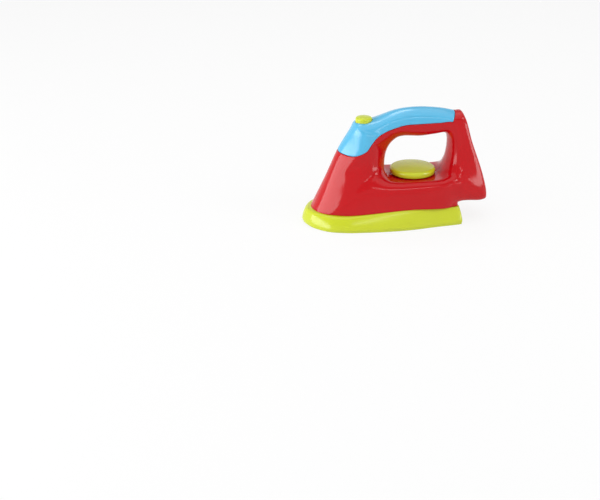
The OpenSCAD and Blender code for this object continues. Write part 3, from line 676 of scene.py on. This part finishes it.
plate = bmesh.new()
foot_ring = ring(plate, [drawn_in(point, PLATE_INSET, PLATE_INSET).to_3d() for point in sole_outline()])
bmesh.ops.contextual_create(plate, geom=foot_ring)
raised = bmesh.ops.extrude_face_region(plate, geom=plate.faces[:])["geom"]
raised_verts = [item for item in raised if isinstance(item, bmesh.types.BMVert)]
bmesh.ops.translate(plate, vec=(0, 0, PLATE_T * MM), verts=raised_verts)
bmesh.ops.recalc_face_normals(plate, faces=plate.faces)
lower_edges = [edge for edge in plate.edges if all(vert.co.z < MM for vert in edge.verts)]
bmesh.ops.bevel(plate, geom=lower_edges, offset=PLATE_ROUNDING * MM, affect="EDGES", segments=4, profile=0.5,
                material=-1)
soleplate = new_piece("sole_plate", plate)
cups = bmesh.new()
cup_bores = bmesh.new()
for x in SOLE_SCREW_XS:
    for y in (-SOLE_SCREW_Y, SOLE_SCREW_Y):
        rod(cups, CUP_R, (x, y, PLATE_T / 2), (x, y, CUP_TOP))
        rod(cup_bores, SCREW_RECESS_R, (x, y, -PLATE_T / 2), (x, y, SOLE_SCREW_SEAT))
joined_with(soleplate, cups, "UNION")
joined_with(soleplate, cup_bores, "DIFFERENCE")
smooth(soleplate)
soleplate.data.materials.append(lime_plastic)
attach(soleplate, "iron")
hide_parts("soleplate")

# Dial: a domed cap of lime plastic with a rolled rim, moulded in one with its hub and shaft. The shaft
# turns in the deck's bush, and a screw from below holds the click wheel on its end.
DIAL_R = 21.5
DIAL_FOOT = DECK_Z + 0.9
DIAL_TOP = DIAL_FOOT + 7.7
DIAL_DROP = 1.6
DIAL_RIM_R = 3
# How far in, and how high over the foot, the points of the rolled lower edge lie
DIAL_LOWER_EDGE = [(0.25, 0.8), (0.6, 0.3), (1, 0)]
DIAL_WALL = 2
DIAL_CEILING = DIAL_WALL + 0.6
DIAL_SIDES = 96
DOME_STEPS = 10
ROLL_STEPS = 8
SHAFT_R = 4
SHAFT_FOOT = 36.05
HUB_R = 7.5
HUB_FOOT = DECK_Z + 1.35


def turned(bm, profile, x, sides):
    """Spins a half section, given as radius and height, about the upright axis at x."""
    verts = [bm.verts.new(((x + radius) * MM, 0, z * MM)) for radius, z in profile]
    outline = [bm.edges.new(pair) for pair in zip(verts, verts[1:])]
    bmesh.ops.spin(bm, geom=verts + outline, cent=(x * MM, 0, 0), axis=(0, 0, 1), angle=2 * pi,
                   steps=sides, use_merge=True)
    bmesh.ops.remove_doubles(bm, verts=bm.verts, dist=MERGE * MM)
    bmesh.ops.recalc_face_normals(bm, faces=bm.faces)


def dome(radius, top, drop, steps):
    """Points of a flat dome from its middle outwards."""
    return [(radius * k / steps, top - drop * (k / steps) ** 2) for k in range(steps + 1)]


def quarter(centre_r, centre_z, radius, steps):
    """Points of a rolled edge from its top round to its side."""
    angles = [pi / 2 * k / steps for k in range(1, steps + 1)]
    return [(centre_r + radius * sin(angle), centre_z + radius * cos(angle)) for angle in angles]


dial = bmesh.new()
rim_r = DIAL_R - DIAL_RIM_R
rim_z = DIAL_TOP - DIAL_DROP - DIAL_RIM_R
dial_profile = dome(rim_r, DIAL_TOP, DIAL_DROP, DOME_STEPS) + quarter(rim_r, rim_z, DIAL_RIM_R, ROLL_STEPS)
dial_profile += [(DIAL_R - inwards, DIAL_FOOT + upwards) for inwards, upwards in DIAL_LOWER_EDGE]
dial_profile += [(dial_profile[-1][0] - DIAL_WALL, DIAL_FOOT),
                 (rim_r - DIAL_WALL, DIAL_TOP - DIAL_DROP - DIAL_CEILING), (HUB_R, DIAL_TOP - DIAL_CEILING),
                 (HUB_R, HUB_FOOT), (SHAFT_R, HUB_FOOT), (SHAFT_R, SHAFT_FOOT), (0, SHAFT_FOOT)]
turned(dial, dial_profile, DIAL_X, DIAL_SIDES)
dial_knob = new_piece("domed_dial", dial)
smooth(dial_knob)
dial_knob.data.materials.append(lime_plastic)
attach(dial_knob, "dial")
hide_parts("dial_knob")

# Button: a cap of lime plastic with a rolled edge, moulded in one with a round stem. It stands up through
# the cover, and the stem slides in the guide.
BUTTON_TOP = 100.6
BUTTON_CROWN = 0.5
BUTTON_ROUND = 2
BUTTON_CAP_H = 9.6
BUTTON_SIDES = 72
BUTTON_DOME_STEPS = 6
STEM_R = 3
STEM_FOOT = 62

push = bmesh.new()
edge_r = BUTTON_R - BUTTON_ROUND
edge_z = BUTTON_TOP - BUTTON_CROWN - BUTTON_ROUND
cap_foot = BUTTON_TOP - BUTTON_CAP_H
button_profile = dome(edge_r, BUTTON_TOP, BUTTON_CROWN, BUTTON_DOME_STEPS)
button_profile += quarter(edge_r, edge_z, BUTTON_ROUND, ROLL_STEPS)
button_profile += [(BUTTON_R, cap_foot), (STEM_R, cap_foot), (STEM_R, STEM_FOOT), (0, STEM_FOOT)]
turned(push, button_profile, BUTTON_X, BUTTON_SIDES)
steam_button = new_piece("nose_button", push)
smooth(steam_button)
steam_button.data.materials.append(lime_plastic)
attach(steam_button, "button")
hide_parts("steam_button")

# Inner plastic: the dial's bush, the click wheel and the button's guide, in plain white plastic
# that was left with the mould's fine matt grain.
white_plastic, start, shader = new_material("white_matt_plastic")
place = start.node("ShaderNodeTexCoord", {}, {}, "Object")
grain = start.node("ShaderNodeTexNoise", {}, {"Vector": place, "Scale": 1800, "Detail": 3})
clouds = start.node("ShaderNodeTexNoise", {}, {"Vector": place, "Scale": 60, "Detail": 3})
tint = start.node("ShaderNodeMix", {"data_type": "RGBA"},
                  {"Factor": clouds, 6: linear(222, 221, 214), 7: linear(236, 236, 232)}, 2)
bump = start.node("ShaderNodeBump", {}, {"Height": grain, "Strength": 0.15, "Distance": 0.0002})
feed(start, shader, Base_Color=tint, Roughness=0.42 + grain * 0.2, Normal=bump)
for node in ("dial_bearing", "click_wheel", "button_guide"):
    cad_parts[node].material_slots[0].material = white_plastic

# Hardware: steel screws and washers and the click leaf, zinc-plated, with the plating's cloudy crystals
# and a fine grain.
zinc_steel, start, shader = new_material("zinc_plated_steel")
place = start.node("ShaderNodeTexCoord", {}, {}, "Object")
crystals = start.node("ShaderNodeTexVoronoi", {}, {"Vector": place, "Scale": 900}, "Color")
clouds = start.node("ShaderNodeTexNoise", {}, {"Vector": place, "Scale": 240, "Detail": 4})
grain = start.node("ShaderNodeTexNoise", {}, {"Vector": place, "Scale": 5000, "Detail": 2})
level = start.node("ShaderNodeRGBToBW", {}, {"Color": crystals})
mottle = clouds * 0.7 + level * 0.3
tint = start.node("ShaderNodeMix", {"data_type": "RGBA"},
                  {"Factor": mottle, 6: linear(158, 161, 166), 7: linear(206, 208, 210)}, 2)
bump = start.node("ShaderNodeBump", {}, {"Height": grain, "Strength": 0.1, "Distance": 0.0001})
feed(start, shader, Base_Color=tint, Roughness=0.24 + level * 0.1 + clouds * 0.1, Normal=bump)
shader.inputs["Metallic"].default_value = 1
for node in ("dial_washer", "dial_screw", "click_spring", "click_spring_screw", "button_washer",
             "button_screw", "guide_screws", "housing_screws", "sole_screws", "cover_screws"):
    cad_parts[node].material_slots[0].material = zinc_steel

# Button spring: a coil of round zinc-plated steel wire around the button's stem. It stands on the guide
# and reaches up to the button's cap.
SPRING_FOOT = 64.4
SPRING_R = 5.9
WIRE_R = 0.5
SPRING_TURNS = 7
RINGS_A_TURN = 24
WIRE_SIDES = 10
WIRE_SEAT = 0.05

coil_low = SPRING_FOOT + WIRE_R + WIRE_SEAT
coil_high = cap_foot - WIRE_R - WIRE_SEAT
ring_count = SPRING_TURNS * RINGS_A_TURN
coil = bmesh.new()
wire_foot = Matrix.Translation(Vector((BUTTON_X + SPRING_R, 0, coil_low)) * MM)
wire_end = wire_foot @ Matrix.Rotation(pi / 2, 4, "X") @ Matrix.Rotation(pi / 2, 4, "Z")
bmesh.ops.create_circle(coil, cap_ends=True, segments=WIRE_SIDES, radius=WIRE_R * MM, matrix=wire_end)
bmesh.ops.spin(coil, geom=coil.verts[:] + coil.edges[:] + coil.faces[:], cent=(BUTTON_X * MM, 0, 0),
               axis=(0, 0, 1), dvec=(0, 0, (coil_high - coil_low) / ring_count * MM),
               angle=2 * pi * SPRING_TURNS, steps=ring_count)
bmesh.ops.recalc_face_normals(coil, faces=coil.faces)
button_spring = new_piece("button_coil", coil)
smooth(button_spring)
button_spring.data.materials.append(zinc_steel)
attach(button_spring, "iron")
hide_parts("button_spring")
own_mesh(button_spring)

# Studio: a wide pale floor that curves up all round, soft boxes around the iron and the camera at the
# photograph's angle. Lamps and camera are placed in metres.
COVE_R = 5000
COVE_ROUND = 1000
COVE_TOP = 2400
COVE_STEPS = 12
COVE_SIDES = 64
PAPER = (0.86, 0.86, 0.86, 1)
WHITE = (1, 1, 1, 1)
# Share of the floor's look that is a white glow, and the world's light on pieces and its extra where seen
FLOOR_GLOW = 0.85
AIR_LIGHT = 0.36
AIR_GLOW = 0.14


def seen_directly(start):
    """1 for what the camera sees, also in gloss and through clear pieces, and 0 for light on pieces."""
    rays = [start.node("ShaderNodeLightPath", {}, {}, kind)
            for kind in ("Is Camera Ray", "Is Glossy Ray", "Is Transmission Ray")]
    return start.math("MAXIMUM", start.math("MAXIMUM", rays[0], rays[1]), rays[2])


cove = bmesh.new()
curve = [(COVE_R - COVE_ROUND + radius, COVE_ROUND - height)
         for radius, height in quarter(0, 0, COVE_ROUND, COVE_STEPS)]
turned(cove, [(0, 0), (COVE_R - COVE_ROUND, 0)] + curve + [(COVE_R, COVE_TOP)], 0, COVE_SIDES)
floor = new_piece("studio_cove", cove)
smooth(floor)
floor_material, start, shader = new_material("pale_floor")
seen = seen_directly(start)
shader.inputs["Base Color"].default_value = PAPER
shader.inputs["Roughness"].default_value = 0.9
shader.inputs["Specular IOR Level"].default_value = 0.1
glow = start.node("ShaderNodeEmission", {}, {"Color": WHITE, "Strength": 1})
paper = Value(floor_material.node_tree, shader.outputs[0])
surface = start.node("ShaderNodeMixShader", {}, {0: seen * FLOOR_GLOW, 1: paper, 2: glow})
output = floor_material.node_tree.nodes["Material Output"]
floor_material.node_tree.links.new(surface.socket, output.inputs["Surface"])
floor.data.materials.append(floor_material)

AIM = Vector((-0.001, 0, 0.054))
# Name, place, width, depth and watts of each box
SOFT_BOXES = [
    ("top_box", (0, -0.05, 1.3), 1.6, 2.0, 10),
    ("crown_box", (0, -0.7, 1.12), 0.45, 0.2, 1.2),
    ("nose_box", (1.05, 0.22, 0.25), 1.43, 0.46, 10),
    ("front_strip", (-0.2, 1.11, 0.7), 0.6, 0.07, 1.0),
    ("heel_box", (-1.02, 0.57, 0.15), 0.6, 0.25, 2.8),
    ("column_box", (-0.92, 0.53, 0.8), 0.35, 0.35, 2.7),
]


def soft_box(name, place, width, depth, watts):
    """An area lamp that points at the iron."""
    lamp = bpy.data.lights.new(name, "AREA")
    lamp.shape = "RECTANGLE"
    lamp.size = width
    lamp.size_y = depth
    lamp.energy = watts
    holder = bpy.data.objects.new(name, lamp)
    bpy.context.scene.collection.objects.link(holder)
    holder.location = place
    holder.rotation_euler = (AIM - Vector(place)).to_track_quat("-Z", "Y").to_euler()


for box in SOFT_BOXES:
    soft_box(*box)

world = bpy.data.worlds.new("studio_air")
world.use_nodes = True
bpy.context.scene.world = world
air = Value(world.node_tree)
air_shader = world.node_tree.nodes["Background"]
air_shader.inputs["Color"].default_value = WHITE
feed(air, air_shader, Strength=AIR_LIGHT + seen_directly(air) * AIR_GLOW)

CAMERA_PLACE = (0.265, 1.201, 0.473)
CAMERA_DIRECTION = (-0.1338, -0.9142, -0.3827)
LENS = 82.5
camera = bpy.data.cameras.new("camera")
camera.lens = LENS
camera_holder = bpy.data.objects.new("camera", camera)
bpy.context.scene.collection.objects.link(camera_holder)
camera_holder.location = CAMERA_PLACE
camera_holder.rotation_euler = Vector(CAMERA_DIRECTION).to_track_quat("-Z", "Y").to_euler()
bpy.context.scene.camera = camera_holder
bpy.context.scene.view_settings.view_transform = "Standard"
